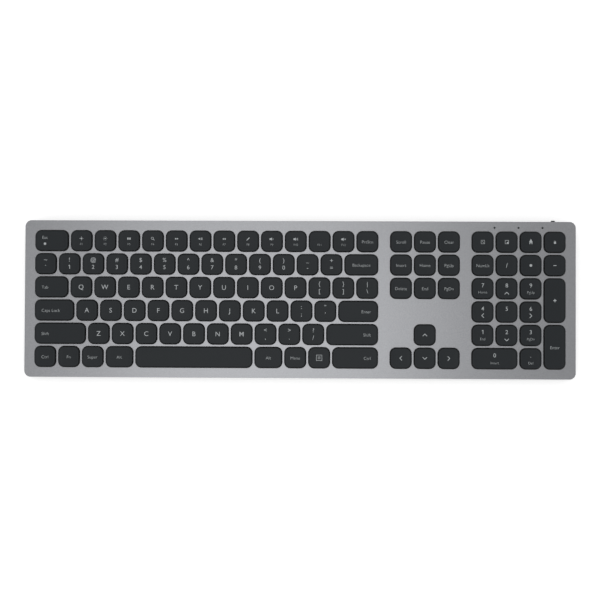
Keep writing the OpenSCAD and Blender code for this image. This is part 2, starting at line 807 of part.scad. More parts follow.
top_plate();
bottom_cover();
key_guide_frame();
dome_sheet();
membrane_circuit();
support_plate();
controller_board();
board_components();
charge_port();
power_switch_body();
power_switch_knob();
battery_pack();
indicator_light_pipes();
rubber_feet();
case_screws();
for (key = keys) key_node(key);
for (wire = wired) wire_node(wire);
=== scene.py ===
"""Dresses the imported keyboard: plate, printed keys, rubber domes, feet, knob, socket, finishes and studio."""

import json
import math
from collections import namedtuple

import bmesh
import bpy
from bpy.props import FloatProperty, FloatVectorProperty, PointerProperty
from bpy.types import Operator, Panel, PropertyGroup
from mathutils import Matrix, Vector

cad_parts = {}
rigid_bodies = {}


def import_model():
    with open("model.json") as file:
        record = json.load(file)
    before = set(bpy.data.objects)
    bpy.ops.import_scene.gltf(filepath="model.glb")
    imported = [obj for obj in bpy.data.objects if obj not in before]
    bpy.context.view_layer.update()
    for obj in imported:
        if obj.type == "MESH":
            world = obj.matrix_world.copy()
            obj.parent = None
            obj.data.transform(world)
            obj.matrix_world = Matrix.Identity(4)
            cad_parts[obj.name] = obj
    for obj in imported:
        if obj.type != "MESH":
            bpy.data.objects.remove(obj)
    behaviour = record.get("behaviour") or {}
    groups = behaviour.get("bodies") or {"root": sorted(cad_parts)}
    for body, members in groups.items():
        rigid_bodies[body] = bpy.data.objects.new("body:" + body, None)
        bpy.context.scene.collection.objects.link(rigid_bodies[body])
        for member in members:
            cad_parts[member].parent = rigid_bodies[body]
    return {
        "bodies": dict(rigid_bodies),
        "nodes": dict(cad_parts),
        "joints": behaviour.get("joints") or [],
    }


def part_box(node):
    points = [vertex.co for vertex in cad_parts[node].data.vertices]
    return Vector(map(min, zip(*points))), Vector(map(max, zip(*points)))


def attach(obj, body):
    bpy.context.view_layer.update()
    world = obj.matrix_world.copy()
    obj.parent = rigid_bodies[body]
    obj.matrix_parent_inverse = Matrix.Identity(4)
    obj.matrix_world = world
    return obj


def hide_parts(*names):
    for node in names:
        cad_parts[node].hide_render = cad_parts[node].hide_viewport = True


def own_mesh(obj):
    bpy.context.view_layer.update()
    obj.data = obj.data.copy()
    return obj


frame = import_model()

bl_info = {
    "name": "Keyboard Dresser",
    "version": (1, 0, 0),
    "blender": (4, 5, 0),
    "location": "3D View > Sidebar > Keyboard",
    "description": "Models the visible pieces of a full-size keyboard around its packed CAD frame",
    "category": "Object",
}

MM = 0.001

# The deck is the tilted frame of the plate: its origin is the middle of the plate's top face.
plate_low, plate_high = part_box("top_plate")
press_axis = Vector(next(j["axis"] for j in frame["joints"] if j["name"] == "space_bar_press"))
TILT = math.atan2(press_axis.y, -press_axis.z)
across = plate_high - plate_low
PLATE_DEPTH = (across.y * math.cos(TILT) - across.z * math.sin(TILT)) / math.cos(2 * TILT)
PLATE_THICKNESS = (across.z * math.cos(TILT) - across.y * math.sin(TILT)) / math.cos(2 * TILT)
PLATE_WIDTH = across.x
DECK = Matrix.Translation((
    (plate_low.x + plate_high.x) / 2,
    plate_low.y + PLATE_DEPTH / 2 * math.cos(TILT),
    plate_high.z - PLATE_DEPTH / 2 * math.sin(TILT),
)) @ Matrix.Rotation(TILT, 4, "X")
DECK_UP = DECK.to_3x3() @ Vector((0, 0, 1))


def deck_box(node):
    """The lowest and highest corner of a CAD node in the deck's frame."""
    to_deck = DECK.inverted()
    points = [to_deck @ vertex.co for vertex in frame["nodes"][node].data.vertices]
    return (
        Vector([min(p[i] for p in points) for i in range(3)]),
        Vector([max(p[i] for p in points) for i in range(3)]),
    )


# Key sizes, read from the keys of the number pad
seven_low, seven_high = deck_box("pad_7_key")
UNIT = deck_box("pad_8_key")[0].x - seven_low.x
ROW_PITCH = seven_low.y - deck_box("pad_4_key")[0].y
CAP_INSET = UNIT - (seven_high.x - seven_low.x)
CAP_RISE = seven_high.z
PLUNGER_LOW = seven_low.z
CAP_ROOF = 1 * MM
CAP_WALL = 1 * MM
CAP_RADIUS = 4.5 * MM
SKIRT_LOW = -0.4 * MM
KEY_GAP = 0.4 * MM
CAP_CEILING = CAP_RISE - CAP_ROOF
# A cap's top goes down in rings of this width, each by its share of the dish.
DISH_RING = 1.1 * MM
DISH_SHARES = (0.5, 0.32, 0.18)
# The plunger and its barbs, as half their width and half their depth
PLUNGER_HALF = (2.5 * MM, 2 * MM)
BARB_HALF = (3.2 * MM, 1 * MM)
BARB_HEIGHT = 0.5 * MM
# The stabiliser wire, and how far its clips lie inside the ends of a long cap
WIRE_RADIUS = 0.4 * MM
CLIP_INSET = 8.4 * MM

# A rubber dome
DOME_RADIUS = 3.4 * MM
DOME_TOP_RADIUS = 1.9 * MM
DOME_WALL = 0.5 * MM
DOME_COLLAR = 0.3 * MM
DOME_EDGE = 0.25 * MM

PLATE_RADIUS = 5 * MM
WINDOW_RADIUS = 0.8 * MM
# Where the battery's foil ends along x, and its leads begin
LEAD_START = 52.01 * MM
# Faces that meet at less than this are shaded as one.
SMOOTH_ANGLE = math.radians(35)


def linear(code):
    """The linear colour of an sRGB hex code."""
    parts = [int(code[i:i + 2], 16) / 255 for i in (1, 3, 5)]
    return (*[p / 12.92 if p <= 0.04045 else ((p + 0.055) / 1.055) ** 2.4 for p in parts], 1)


# Settings that a user would change

def length(name, text, millimetres):
    return FloatProperty(
        name=name, description=text, default=millimetres * MM, min=0, unit="LENGTH", precision=5)


def colour(name, text, code):
    return FloatVectorProperty(
        name=name, description=text, default=linear(code), size=4, min=0, max=1, subtype="COLOR")


class KeyboardSizes(PropertyGroup):
    """Sizes of the details that the CAD frame leaves plain."""

    cap_rim: length("Cap rim", "Radius of the soft edge round a cap's top", 0.8)
    cap_dish: length("Cap dish", "Depth of the hollow in a cap's top", 0.17)
    plate_edge: length("Plate edge", "Width of the broken edge round the plate and its openings", 0.14)
    ink_height: length("Ink height", "Thickness of the printed legends", 0.03)
    letter_size: length("Letter size", "Type size of the letters", 5.3)
    digit_size: length("Digit size", "Type size of the digits and signs", 4.6)
    name_size: length("Name size", "Type size of the key names", 3.5)
    second_size: length("Second name size", "Type size of the names below the digits of the number pad", 2.9)
    small_size: length("Small size", "Type size of the function numbers", 2.4)


class KeyboardColours(PropertyGroup):
    """Colours of the finishes."""

    plate: colour("Plate", "Anodised aluminium plate", "#98999c")
    cap_top: colour("Cap top", "Matt top of the keycaps", "#212528")
    # Painted shade: the caps' sides get a darker colour than their tops to stand in for the shade that falls on
    # them
    cap_side: colour("Cap side", "Smoother sides of the keycaps", "#101214")
    ink: colour("Ink", "Printed legends", "#b4b8ba")
    cover: colour("Cover", "Bottom cover", "#1d1f21")
    rubber: colour("Rubber", "Feet", "#1b1b1c")


# Legends

# A figure is text, or the name of a symbol. Places are in millimetres from the cap's middle, or for a side of
# -1 or 1 from a line a set distance inside the cap's left or right edge.
Mark = namedtuple("Mark", "figure x y size side")
SIDE_INSET = 5.3 * MM
# Height of the font's capitals, as a share of its type size
CAP_HEIGHT = 0.682
# How much bolder or finer the print is on each side of a stroke than the font, for each type size
STROKE_GAIN = {
    "letter_size": 0.01 * MM,
    "digit_size": 0.02 * MM,
    "name_size": -0.045 * MM,
    "second_size": -0.045 * MM,
    "small_size": -0.035 * MM,
}
# The strokes of the symbols, in millimetres and degrees
Bar = namedtuple("Bar", "x y length width turn")
Disc = namedtuple("Disc", "x y across sides turn")
Ring = namedtuple("Ring", "x y across width sides turn")
SPEAKER = [Bar(-1.3, 0, 1, 1.3, 0), Disc(-0.65, 0, 2.8, 3, 90)]
SYMBOLS = {
    "up": [Bar(-0.8, 0, 2.5, 0.5, 45), Bar(0.8, 0, 2.5, 0.5, -45)],
    "down": [Bar(-0.8, 0, 2.5, 0.5, -45), Bar(0.8, 0, 2.5, 0.5, 45)],
    "left": [Bar(0, 0.8, 2.5, 0.5, 45), Bar(0, -0.8, 2.5, 0.5, -45)],
    "right": [Bar(0, 0.8, 2.5, 0.5, -45), Bar(0, -0.8, 2.5, 0.5, 45)],
    "dot": [Disc(0, 0, 2, 24, 0)],
    "one": [Bar(0.25, 0, 3.1, 0.48, 90), Bar(-0.17, 1.17, 1.1, 0.42, 38)],
    "plus": [Bar(0, 0, 2.5, 0.6, 0), Bar(0, 0, 2.5, 0.6, 90)],
    "minus": [Bar(0, 0, 2.4, 0.5, 0)],
    "star": [Bar(0, 0, 2.2, 0.7, turn) for turn in (30, 90, 150)],
    "dim": [
        Disc(0, 0, 1.3, 20, 0),
        *[Bar(x, 0, 0.5, 0.35, 0) for x in (1.2, -1.2)],
        *[Bar(0, y, 0.5, 0.35, 90) for y in (1.2, -1.2)],
    ],
    "bright": [
        Disc(0, 0, 1, 20, 0),
        *[Bar(1.4 * math.cos(math.radians(turn)), 1.4 * math.sin(math.radians(turn)), 0.6, 0.2, turn)
          for turn in range(0, 360, 45)],
    ],
    "panes": [Bar(-0.8, 0, 1.1, 1.6, 0), Bar(0.8, 0, 1.1, 1.6, 0)],
    "search": [Ring(-0.3, 0.3, 2.1, 0.3, 20, 0), Bar(0.85, -0.85, 1.4, 0.36, -45)],
    "back": [Disc(0.65, 0, 1.75, 3, -90), Disc(-0.75, 0, 1.75, 3, -90)],
    "play": [Disc(-0.7, 0, 2.2, 3, 90), Bar(0.7, 0, 1.9, 0.4, 90), Bar(1.4, 0, 1.9, 0.4, 90)],
    "ahead": [Disc(-0.65, 0, 1.75, 3, 90), Disc(0.75, 0, 1.75, 3, 90)],
    "mute": [*SPEAKER, Bar(1.2, 0, 1.4, 0.35, 45), Bar(1.2, 0, 1.4, 0.35, -45)],
    "quiet": [*SPEAKER, Bar(0.9, 0, 1.1, 0.35, 90)],
    "loud": [*SPEAKER, Bar(0.8, 0, 1.1, 0.35, 90), Bar(1.5, 0, 2.1, 0.35, 90)],
    "pen": [Bar(0.25, 0.25, 2.4, 0.75, 45), Disc(-1, -1, 0.9, 3, 135)],
    "menu": [Ring(0, 0, 6.6, 0.31, 4, 45), *[Bar(0, y, 2.2, 0.27, 0) for y in (0.8, 0, -0.8)]],
    "screen": [Ring(0, 0, 4.2, 0.24, 4, 45), Bar(0.2, -0.2, 2.2, 0.26, -45)],
    "corner": [Ring(0, 0, 4.2, 0.28, 4, 45), Bar(0.55, -0.55, 1.1, 1.1, 0)],
    "home": [
        Disc(0, 0.9, 3.2, 3, 0),
        *[Bar(x, -0.8, 1.5, 0.56, 90) for x in (-0.85, 0.85)],
        Bar(0, -0.4, 1.9, 0.56, 0),
    ],
    "lock": [Bar(0, -0.55, 1.7, 1.3, 0), Ring(0, 0.4, 1.4, 0.28, 20, 0)],
}


def letter(figure):
    return [Mark(figure, 0, 0, "letter_size", 0)]


def word(text, side=0, y=-0.3):
    return [Mark(text, 0, y, "name_size", side)]


def pair(upper, lower):
    return [Mark(upper, 0, 3.3, "digit_size", 0), Mark(lower, 0, -2.5, "digit_size", 0)]


def function(symbol, number):
    above = [Mark(symbol, 0, 1.7, "", 0)] if symbol else []
    return [*above, Mark(f"F{number}", 0, -2.75, "small_size", 0)]


def digit(figure, below="", drop=-2.9):
    second = [Mark(below, 0, drop, "second_size", 0)] if below else []
    return [Mark(figure, 0, 2.6, "digit_size", 0), *second]


def row(marks, width=1):
    return [(width, each) for each in marks]


# The rows of keys in each node: every key's width in units and its marks. A width with None is left free.
ESCAPE = [Mark("Esc", 0, 2.4, "name_size", -1), Mark("dot", 2.4, -2.6, "", -1)]
FUNCTIONS = ("dim", "bright", "panes", "search", "back", "play", "ahead", "pen", "quiet", "loud", "", "mute")
MAIN_KEYS = {
    "function_row_keys": [[
        (1.5, ESCAPE),
        *row(function(symbol, i + 1) for i, symbol in enumerate(FUNCTIONS)),
        (1, word("PrtScn")),
    ]],
    "number_row_keys": [row(pair(*each) for each in zip("~!@#$%^&*()_+", ("`", "one", *"234567890-=")))],
    "backspace_key": [[(1.5, word("Backspace"))]],
    "upper_row_keys": [[
        (1.5, word("Tab", -1)),
        *row(map(letter, "QWERTYUIOP")),
        *row(pair(*each) for each in zip("{}|", "[]\\")),
    ]],
    "home_row_keys": [[
        (1.75, word("Caps Lock", -1)),
        *row(map(letter, "ASDFGHJKL")),
        *row(pair(*each) for each in zip(":\"", ";'")),
    ]],
    "enter_key": [[(1.75, word("Enter", 1))]],
    "left_shift_key": [[(2.25, word("Shift", -1))]],
    "lower_row_keys": [[*row(map(letter, "ZXCVBNM")), *row(pair(*each) for each in zip("<>?", ",./"))]],
    "right_shift_key": [[(2.25, word("Shift", 1))]],
    "modifier_keys": [[
        *row(map(word, ("Ctrl", "Fn", "Super"))), (1.25, word("Alt")), (5, None), (1.25, word("Alt")),
        (1, word("Menu")), (1, [Mark("menu", 0, 0, "", 0)]),
    ]],
    "space_bar": [[(5, [])]],
    "right_control_key": [[(2, word("Ctrl", 1))]],
}
MIDDLE_KEYS = {
    "nav_keys": [
        row(map(word, ("Scroll", "Pause", "Clear"))),
        row(map(word, ("Insert", "Home", "PgUp"))),
        row(map(word, ("Delete", "End", "PgDn"))),
    ],
    **{f"{way}_arrow_key": [[(1, [Mark(way, 0, 0, "", 0)])]] for way in ("up", "left", "down", "right")},
}
PAD_KEYS = {
    **{f"pad_hotkey_{i + 1}": [[(1, [Mark(symbol, 0, 0, "", 0)])]]
       for i, symbol in enumerate(("screen", "corner", "home", "lock"))},
    "pad_num_lock_key": [[(1, word("NumLk"))]],
    "pad_divide_key": [[(1, letter("/"))]],
    "pad_multiply_key": [[(1, letter("star"))]],
    "pad_minus_key": [[(1, letter("minus"))]],
    "pad_7_key": [[(1, digit("7", "Home"))]],
    "pad_8_key": [[(1, digit("8", "up", -3.6))]],
    "pad_9_key": [[(1, digit("9", "PgUp"))]],
    "pad_plus_key": [[(1, letter("plus"))]],
    "pad_4_key": [[(1, digit("4", "left"))]],
    "pad_5_key": [[(1, digit("5"))]],
    "pad_6_key": [[(1, digit("6", "right"))]],
    "pad_1_key": [[(1, digit("one", "End"))]],
    "pad_2_key": [[(1, digit("2", "down", -3.6))]],
    "pad_3_key": [[(1, digit("3", "PgDn"))]],
    "pad_enter_key": [[(1, word("Enter"))]],
    "pad_0_key": [[(2, digit("0", "Insert", -3.4))]],
    "pad_point_key": [[(1, digit(".", "Del", -3.4))]],
}
ALL_KEYS = {**MAIN_KEYS, **MIDDLE_KEYS, **PAD_KEYS}


def cells(node, rows):
    """Each cap of a node: its middle in the deck's frame, its width, its depth and its marks."""
    low, high = deck_box(node)
    depth = high.y - low.y - (len(rows) - 1) * ROW_PITCH
    for i, keys in enumerate(rows):
        left = low.x - CAP_INSET / 2
        for units, marks in keys:
            if marks is not None:
                yield (
                    Vector((left + units * UNIT / 2, high.y - depth / 2 - i * ROW_PITCH, 0)),
                    units * UNIT - CAP_INSET, depth, marks,
                )
            left += units * UNIT


# Modelling helpers

def select_only(*objects):
    """Selects these objects alone, and makes the first one active."""
    bpy.ops.object.select_all(action="DESELECT")
    for each in objects:
        each.select_set(True)
    bpy.context.view_layer.objects.active = objects[0]


def joined(objects):
    """One object of several."""
    select_only(*objects)
    if len(objects) > 1:
        bpy.ops.object.join()
    return bpy.context.object


def copied(source, place):
    """A copy with its own mesh, moved by place."""
    select_only(source)
    bpy.ops.object.duplicate()
    bpy.context.object.location += place
    return bpy.context.object


def discard(objects):
    select_only(*objects)
    bpy.ops.object.delete()


def pick(kind, test):
    """Selects in edit mode the edges or faces of the active mesh for which the test holds."""
    bpy.ops.mesh.select_mode(type=kind)
    bpy.ops.mesh.select_all(action="DESELECT")
    mesh = bmesh.from_edit_mesh(bpy.context.object.data)
    mesh.normal_update()
    found = [part for part in (mesh.edges if kind == "EDGE" else mesh.faces) if test(part)]
    if not found:
        raise RuntimeError(f"nothing to pick on {bpy.context.object.name}")
    for part in found:
        part.select = True
    mesh.select_flush_mode()
    bmesh.update_edit_mesh(bpy.context.object.data)


def upright(edge):
    return abs((edge.verts[0].co - edge.verts[1].co).normalized().z) > 0.99


def lengthways(edge):
    return abs((edge.verts[0].co - edge.verts[1].co).normalized().y) > 0.99


def at_height(z):
    return lambda part: all(abs(vertex.co.z - z) < 0.002 * MM for vertex in part.verts)


def sharp(edge):
    return edge.is_manifold and edge.calc_face_angle() > 1


def block(low, high):
    """A box between two corners."""
    low, high = Vector(low), Vector(high)
    bpy.ops.mesh.primitive_cube_add(size=1, location=(low + high) / 2, scale=high - low)
    bpy.ops.object.transform_apply(location=True, rotation=True, scale=True)
    return bpy.context.object


def soften(test, width, segments):
    """Bevels the edges of the active mesh for which the test holds."""
    bpy.ops.object.mode_set(mode="EDIT")
    pick("EDGE", test)
    bpy.ops.mesh.bevel(offset=width, segments=segments, affect="EDGES")
    bpy.ops.object.mode_set(mode="OBJECT")


def cut(piece, cutter):
    """Takes the cutter out of the piece, and the cutter away."""
    select_only(piece)
    change = piece.modifiers.new("Cut", "BOOLEAN")
    change.operation = "DIFFERENCE"
    change.solver = "EXACT"
    change.object = cutter
    bpy.ops.object.modifier_apply(modifier=change.name)
    discard([cutter])
    select_only(piece)


def settle(piece, name, body, nodes, place=Matrix.Identity(4)):
    """Moves a finished piece's mesh into the object's frame, and puts it on its body instead of its nodes."""
    select_only(piece)
    piece.matrix_world = place @ piece.matrix_world
    bpy.ops.object.transform_apply(location=True, rotation=True, scale=True)
    piece.name = piece.data.name = name
    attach(piece, body)
    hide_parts(*nodes)


# Materials

def add_node(tree, kind, inputs=None, **settings):
    """Adds a node with its settings, and sets or links its inputs."""
    node = tree.nodes.new(kind)
    for name, value in settings.items():
        setattr(node, name, value)
    feed(tree, node, inputs or {})
    return node


def feed(tree, node, inputs):
    """Sets a node's inputs, or links them where the value is another node's output."""
    for name, value in inputs.items():
        if isinstance(value, bpy.types.NodeSocket):
            tree.links.new(value, node.inputs[name])
        else:
            node.inputs[name].default_value = value


def begin(name):
    """A new material, with its node tree, its shader and its object coordinates."""
    material = bpy.data.materials.new(name)
    material.use_nodes = True
    tree = material.node_tree
    return material, tree, tree.nodes["Principled BSDF"], add_node(tree, "ShaderNodeTexCoord").outputs["Object"]


def noise(tree, place, size, detail):
    """Noise whose features are about this size."""
    return add_node(
        tree, "ShaderNodeTexNoise", {"Vector": place, "Scale": 1 / size, "Detail": detail}).outputs["Fac"]


def blend(tree, share, first, second):
    """Two colours mixed, with this share of the second."""
    return add_node(
        tree, "ShaderNodeMix", {0: share, 6: first, 7: second}, data_type="RGBA").outputs[2]


def relief(tree, height, strength, depth):
    """Normals that follow a height."""
    return add_node(
        tree, "ShaderNodeBump", {"Height": height, "Strength": strength, "Distance": depth}).outputs[0]


def shade(tone, share):
    """A colour made lighter or darker by a share."""
    return (*[min(1, part * share) for part in tone[:3]], 1)


def anodised_aluminium(tone):
    """Blasted and anodised sheet: a fine even grit that spreads highlights, and a faint drift in the dye."""
    material, tree, shader, place = begin("blasted anodised aluminium")
    # Blasting grit is about 0.1 mm; it is drawn at 0.8 mm so that it shows.
    grit = noise(tree, place, 0.8 * MM, 3)
    drift = noise(tree, place, 70 * MM, 1)
    speckled = blend(tree, grit, shade(tone, 0.7), shade(tone, 1.3))
    dyed = blend(tree, drift, shade(tone, 0.97), shade(tone, 1.03))
    mixed = blend(tree, 0.3, speckled, dyed)
    rough = add_node(tree, "ShaderNodeMapRange", {"Value": grit, "To Min": 0.28, "To Max": 0.36})
    bump = relief(tree, grit, 0.1, 0.03 * MM)
    feed(tree, shader, {
        "Base Color": mixed, "Metallic": 1, "Roughness": rough.outputs[0], "Normal": bump})
    return material


def keycap_plastic(top, side):
    """Moulded ABS: a fine matt texture on the top, and sides that show no wear, painted darker as shade where their
    faces turn away from the deck's up.
    """
    material, tree, shader, place = begin("matt moulded ABS keycap")
    coordinates = tree.nodes["Texture Coordinate"]
    # Spark-eroded texture is about 0.1 mm; it is drawn at 0.5 mm so that it shows.
    grain = noise(tree, place, 0.5 * MM, 2)
    # Faces that turn away from the deck's up lose the top's texture and take the darker side colour, which is
    # painted shade
    upward = add_node(
        tree, "ShaderNodeVectorMath", {0: coordinates.outputs["Normal"], 1: DECK_UP}, operation="DOT_PRODUCT")
    matt = add_node(
        tree, "ShaderNodeMapRange", {"Value": upward.outputs["Value"], "From Min": 0.9, "From Max": 0.995},
        interpolation_type="SMOOTHSTEP")
    textured = blend(tree, grain, shade(top, 0.9), shade(top, 1.1))
    body = blend(tree, matt.outputs[0], side, textured)
    bump = relief(tree, grain, 0.2, 0.02 * MM)
    feed(tree, shader, {
        "Base Color": body, "Roughness": 0.4, "Specular IOR Level": 0.2, "Normal": bump})
    return material


def printed_ink(tone):
    """Pad-printed ink: a pale grey that thins a little where the plastic's texture comes through."""
    material, tree, shader, place = begin("pad-printed grey ink")
    # The texture below the ink is about 0.1 mm; it is drawn at 0.4 mm so that it shows.
    thin = noise(tree, place, 0.4 * MM, 2)
    mixed = blend(tree, thin, shade(tone, 0.86), shade(tone, 1.08))
    feed(tree, shader, {"Base Color": mixed, "Roughness": 0.6, "Specular IOR Level": 0.3})
    return material


def moulded_plastic(name, tone, grain_mm, roughness, depth_mm):
    """Moulded plastic: an even spark-eroded grain and a slight drift in tone."""
    material, tree, shader, place = begin(name)
    grain = noise(tree, place, grain_mm * MM, 3)
    mixed = blend(tree, grain, shade(tone, 0.82), shade(tone, 1.2))
    bump = relief(tree, grain, 0.35, depth_mm * MM)
    feed(tree, shader, {
        "Base Color": mixed, "Roughness": roughness, "Specular IOR Level": 0.4, "Normal": bump})
    return material


def foot_rubber(tone):
    """Moulded rubber: dull, with a dusty bloom that lies in soft patches."""
    material, tree, shader, place = begin("moulded foot rubber")
    bloom = noise(tree, place, 4 * MM, 4)
    mixed = blend(tree, bloom, tone, shade(tone, 1.6))
    feed(tree, shader, {"Base Color": mixed, "Roughness": 0.85, "Specular IOR Level": 0.25})
    return material


def silicone():
    """Moulded silicone: milky and soft, light goes a little way in."""
    material, tree, shader, place = begin("milky silicone")
    cloud = noise(tree, place, 6 * MM, 2)
    mixed = blend(tree, cloud, linear("#c4c7c8"), linear("#d4d6d6"))
    feed(tree, shader, {
        "Base Color": mixed, "Roughness": 0.5, "Subsurface Weight": 0.3, "Subsurface Scale": 0.8 * MM})
    return material


def circuit_film():
    """Polyester film: glossy and greenish clear, with silver ink tracks that run in lines 1.6 mm apart."""
    material, tree, shader, place = begin("printed polyester film")
    tracks = add_node(
        tree, "ShaderNodeTexWave",
        {"Vector": place, "Scale": 0.314 / (1.6 * MM), "Distortion": 3, "Detail": 1, "Detail Scale": 0.02},
        bands_direction="Y")
    lines = add_node(
        tree, "ShaderNodeMapRange", {"Value": tracks.outputs["Fac"], "From Min": 0.62, "From Max": 0.7})
    mixed = blend(tree, lines.outputs[0], linear("#c3cdbf"), linear("#8d9294"))
    feed(tree, shader, {"Base Color": mixed, "Roughness": 0.2, "IOR": 1.6})
    return material


def steel(name, tone, spread_mm, roughness):
    """Plated steel: a bright metal whose tone wanders along the direction in which it was drawn or rolled."""
    material, tree, shader, place = begin(name)
    stretched = add_node(tree, "ShaderNodeMapping", {"Vector": place, "Scale": (0.1, 1, 1)})
    streaks = noise(tree, stretched.outputs[0], spread_mm * MM, 3)
    mixed = blend(tree, streaks, shade(tone, 0.85), shade(tone, 1.1))
    feed(tree, shader, {"Base Color": mixed, "Metallic": 1, "Roughness": roughness})
    return material


def galvanised_sheet():
    """Galvanised sheet: flat zinc crystals about 7 mm across, each of its own grey."""
    material, tree, shader, place = begin("galvanised steel sheet")
    crystals = add_node(tree, "ShaderNodeTexVoronoi", {"Vector": place, "Scale": 1 / (7 * MM)})
    grey = add_node(tree, "ShaderNodeSeparateColor", {0: crystals.outputs["Color"]})
    mixed = blend(tree, grey.outputs[0], linear("#a9adb0"), linear("#c6c9cb"))
    feed(tree, shader, {"Base Color": mixed, "Metallic": 1, "Roughness": 0.4})
    return material


def circuit_board():
    """Solder mask over copper: glossy green, lighter where the 0.5 mm tracks run below it."""
    material, tree, shader, place = begin("green solder mask")
    tracks = add_node(
        tree, "ShaderNodeTexBrick",
        {"Vector": place, "Color1": linear("#1a5a36"), "Color2": linear("#1c6039"), "Mortar": linear("#2c7a4b"),
         "Scale": 1 / (10 * MM), "Mortar Size": 0.025, "Mortar Smooth": 0.2,
         "Brick Width": 0.9, "Row Height": 0.16},
        offset=0.5)
    feed(tree, shader, {"Base Color": tracks.outputs[0], "Roughness": 0.25})
    return material


def battery_foil(lead_start):
    """Pouch cell: laminated foil with faint creases, and two insulated leads, one red and one black."""
    material, tree, shader, place = begin("laminated battery foil")
    creases = noise(tree, place, 9 * MM, 5)
    foil = blend(tree, creases, linear("#8f9396"), linear("#a9adb0"))
    axes = add_node(tree, "ShaderNodeSeparateXYZ", {0: place})
    lead = add_node(tree, "ShaderNodeMath", {0: axes.outputs["X"], 1: lead_start.x}, operation="GREATER_THAN")
    rear = add_node(tree, "ShaderNodeMath", {0: axes.outputs["Y"], 1: lead_start.y}, operation="GREATER_THAN")
    sleeves = blend(tree, rear.outputs[0], linear("#1a1a1b"), linear("#a11f1c"))
    mixed = blend(tree, lead.outputs[0], foil, sleeves)
    metal = add_node(tree, "ShaderNodeMapRange", {"Value": lead.outputs[0], "To Min": 0.9, "To Max": 0})
    bump = relief(tree, creases, 0.3, 0.2 * MM)
    feed(tree, shader, {
        "Base Color": mixed, "Metallic": metal.outputs[0], "Roughness": 0.35, "Normal": bump})
    return material


def smoked_plastic():
    """Smoked acrylic light pipes: dark while they are off, with a glossy face and a few faint flow streaks."""
    material, tree, shader, place = begin("smoked acrylic")
    streaks = noise(tree, place, 1.2 * MM, 2)
    mixed = blend(tree, streaks, linear("#232628"), linear("#303436"))
    feed(tree, shader, {"Base Color": mixed, "Roughness": 0.15, "IOR": 1.49})
    return material


# Keys

def clip_blank():
    """The two cheeks under a long cap that snap over its stabiliser wire, with the wire's middle at the origin."""
    reach, half, top, mouth = 1.5 * MM, 0.85 * MM, 1 * MM, 0.32 * MM
    clip = block((-reach, -half, -half), (reach, half, top))
    bpy.ops.mesh.primitive_cylinder_add(
        vertices=24, radius=WIRE_RADIUS + 0.05 * MM, depth=4 * MM, rotation=(0, math.pi / 2, 0))
    cut(clip, bpy.context.object)
    cut(clip, block((-2 * MM, -mouth, -1 * MM), (2 * MM, mouth, 0)))
    return clip


def barb_tip(edge):
    """Whether an edge is a lower outer edge of the barbs."""
    first, second = (vertex.co for vertex in edge.verts)
    return at_height(PLUNGER_LOW)(edge) and abs(first.x - second.x) < 0.1 * MM


def cap_blank(sizes, width, depth, finish):
    """One keycap in the deck's frame: soft rim, dished top, hollow underside and a plunger with barbs."""
    cap = block((-width / 2, -depth / 2, SKIRT_LOW), (width / 2, depth / 2, CAP_RISE))
    soften(upright, CAP_RADIUS, 8)
    soften(at_height(CAP_RISE), sizes.cap_rim, 4)
    bpy.ops.object.mode_set(mode="EDIT")
    pick("FACE", at_height(CAP_RISE))
    for share in DISH_SHARES:
        bpy.ops.mesh.inset(thickness=DISH_RING, depth=-sizes.cap_dish * share)
    pick("FACE", at_height(SKIRT_LOW))
    bpy.ops.mesh.inset(thickness=CAP_WALL)
    bpy.ops.mesh.extrude_region_move(TRANSFORM_OT_translate={"value": (0, 0, CAP_CEILING - SKIRT_LOW)})
    bpy.ops.object.mode_set(mode="OBJECT")
    x, y = PLUNGER_HALF
    plunger = block((-x, -y, PLUNGER_LOW), (x, y, CAP_CEILING + CAP_ROOF / 3))
    soften(upright, 0.4 * MM, 3)
    x, y = BARB_HALF
    barbs = block((-x, -y, PLUNGER_LOW), (x, y, PLUNGER_LOW + BARB_HEIGHT))
    soften(barb_tip, 0.3 * MM, 1)
    cap = joined([cap, plunger, barbs])
    bpy.ops.object.shade_smooth_by_angle(angle=SMOOTH_ANGLE)
    cap.data.materials.append(finish)
    return cap


def draw_mark(sizes, mark, middle, width, ink):
    """Draws one mark flat above its cap, as text or as the strokes of a symbol."""
    along = mark.x * MM + mark.side * (width / 2 - SIDE_INSET)
    place = middle + Vector((along, mark.y * MM, CAP_RISE + 1 * MM))
    drawn = []
    if mark.figure in SYMBOLS:
        for stroke in SYMBOLS[mark.figure]:
            at = place + Vector((stroke.x, stroke.y, 0)) * MM
            turned = (0, 0, math.radians(stroke.turn))
            if isinstance(stroke, Bar):
                bpy.ops.mesh.primitive_plane_add(size=1, location=at, rotation=turned)
                bpy.context.object.scale = (stroke.length * MM, stroke.width * MM, 1)
            else:
                bpy.ops.mesh.primitive_circle_add(
                    vertices=stroke.sides, radius=stroke.across / 2 * MM, fill_type="NGON",
                    location=at, rotation=turned)
            if isinstance(stroke, Ring):
                bpy.ops.object.mode_set(mode="EDIT")
                bpy.ops.mesh.inset(thickness=stroke.width * MM)
                bpy.ops.mesh.delete(type="FACE")
                bpy.ops.object.mode_set(mode="OBJECT")
            drawn.append(bpy.context.object)
    else:
        size = getattr(sizes, mark.size)
        bpy.ops.object.text_add(location=place - Vector((0, size * CAP_HEIGHT / 2, 0)))
        text = bpy.context.object
        text.data.body = mark.figure
        text.data.size = size
        text.data.offset = STROKE_GAIN[mark.size]
        text.data.align_x = ("LEFT", "CENTER", "RIGHT")[mark.side + 1]
        text.data.resolution_u = 3
        drawn.append(text)
    for each in drawn:
        each.data.materials.append(ink)
    return drawn


